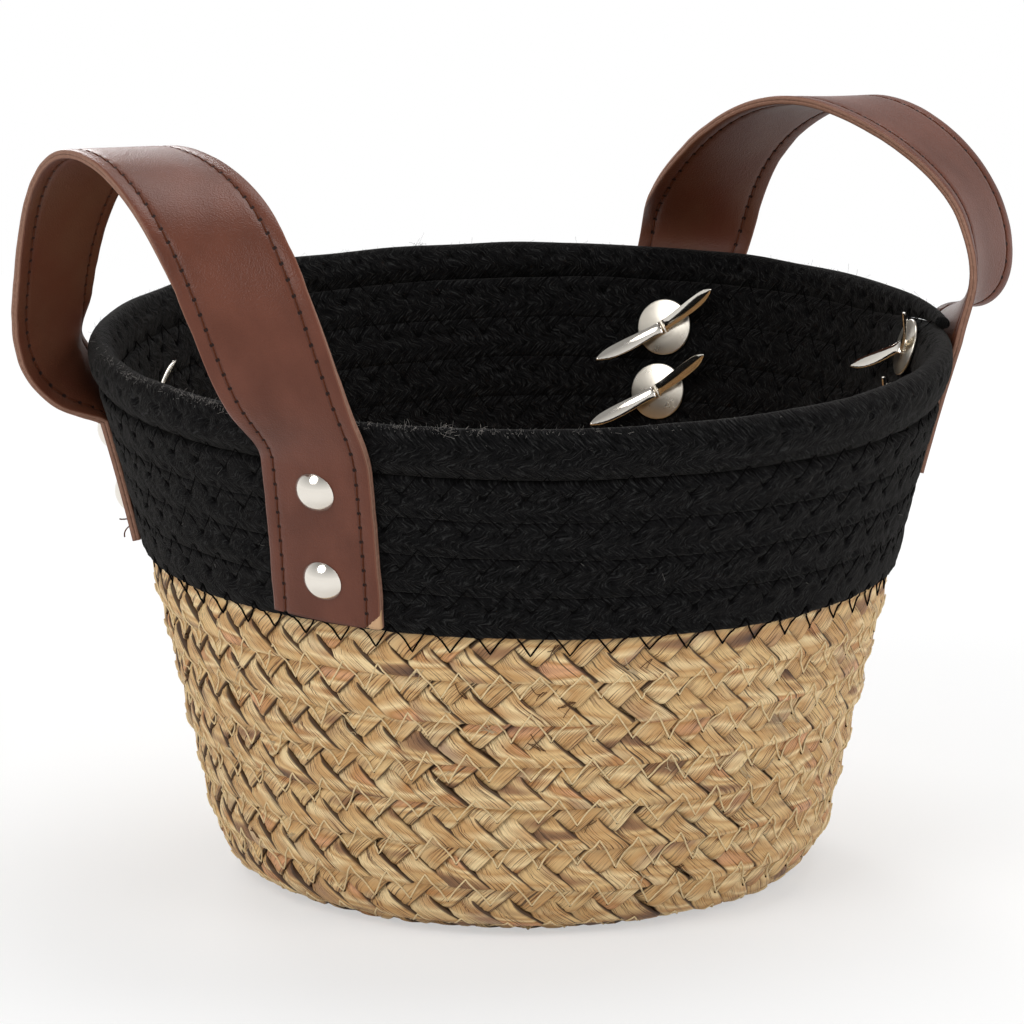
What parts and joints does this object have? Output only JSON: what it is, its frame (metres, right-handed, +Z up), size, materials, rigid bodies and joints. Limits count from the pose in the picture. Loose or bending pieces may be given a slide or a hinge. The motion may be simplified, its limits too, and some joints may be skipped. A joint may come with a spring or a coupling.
{
  "type": "knitting basket",
  "caption": "Round coiled basket of sewn straw plait below and black cotton braid above, with flexible leather strap handles held by metal brads.",
  "frame": {"origin": "the middle of the underside of the base, on the axis of the basket, at the level of its resting face", "axes": "+Z up through the open top; +X towards the lower of the two handles, with the handles on the -X and +X sides; +Y completes a right-handed set"},
  "size_m": [0.2646, 0.2224, 0.2003],
  "materials": {
    "straw_plait": "dry plaited plant fibre, matt",
    "black_cotton": "matt black cotton braid",
    "brown_leather": "smooth brown, satin",
    "brown_lining": "brown, a little duller than the outside",
    "polished_nickel": "polished nickel plating"
  },
  "bodies": {
    "basket": {"straw_plait": "straw_plait", "cotton_braid": "black_cotton", "left_strap_front_tab": "brown_leather", "left_strap_front_flex": "brown_leather", "left_strap_back_flex": "brown_leather", "left_strap_back_tab": "brown_leather", "left_lining_front_tab": "brown_lining", "left_lining_front_flex": "brown_lining", "left_lining_back_flex": "brown_lining", "left_lining_back_tab": "brown_lining", "left_front_lower_washer": "polished_nickel", "left_front_lower_brad_head": "polished_nickel", "left_front_lower_brad_prongs": "polished_nickel", "left_front_upper_washer": "polished_nickel", "left_front_upper_brad_head": "polished_nickel", "left_front_upper_brad_prongs": "polished_nickel", "left_back_lower_washer": "polished_nickel", "left_back_lower_brad_head": "polished_nickel", "left_back_lower_brad_prongs": "polished_nickel", "left_back_upper_washer": "polished_nickel", "left_back_upper_brad_head": "polished_nickel", "left_back_upper_brad_prongs": "polished_nickel", "right_strap_front_tab": "brown_leather", "right_strap_front_flex": "brown_leather", "right_strap_back_flex": "brown_leather", "right_strap_back_tab": "brown_leather", "right_lining_front_tab": "brown_lining", "right_lining_front_flex": "brown_lining", "right_lining_back_flex": "brown_lining", "right_lining_back_tab": "brown_lining", "right_front_lower_washer": "polished_nickel", "right_front_lower_brad_head": "polished_nickel", "right_front_lower_brad_prongs": "polished_nickel", "right_front_upper_washer": "polished_nickel", "right_front_upper_brad_head": "polished_nickel", "right_front_upper_brad_prongs": "polished_nickel", "right_back_lower_washer": "polished_nickel", "right_back_lower_brad_head": "polished_nickel", "right_back_lower_brad_prongs": "polished_nickel", "right_back_upper_washer": "polished_nickel", "right_back_upper_brad_head": "polished_nickel", "right_back_upper_brad_prongs": "polished_nickel"},
    "left_handle": {"left_strap_loop": "brown_leather", "left_lining_loop": "brown_lining"},
    "right_handle": {"right_strap_loop": "brown_leather", "right_lining_loop": "brown_lining"}
  },
  "joints": [
    {"name": "left_handle_swing", "type": "hinge", "parent": "basket", "child": "left_handle", "pos_m": [-0.09557, 0.0086, 0.13952], "axis": [0.0897, 0.996, 0], "range_deg": [-75, 60], "stiffness_Nm_per_rad": 0.2, "deforming": ["left_strap_front_flex", "left_strap_back_flex", "left_lining_front_flex", "left_lining_back_flex"]},
    {"name": "right_handle_swing", "type": "hinge", "parent": "basket", "child": "right_handle", "pos_m": [0.10121, 0.00902, 0.13952], "axis": [0.0888, -0.996, 0], "range_deg": [-75, 35], "stiffness_Nm_per_rad": 0.2, "deforming": ["right_strap_front_flex", "right_strap_back_flex", "right_lining_front_flex", "right_lining_back_flex"]}
  ]
}
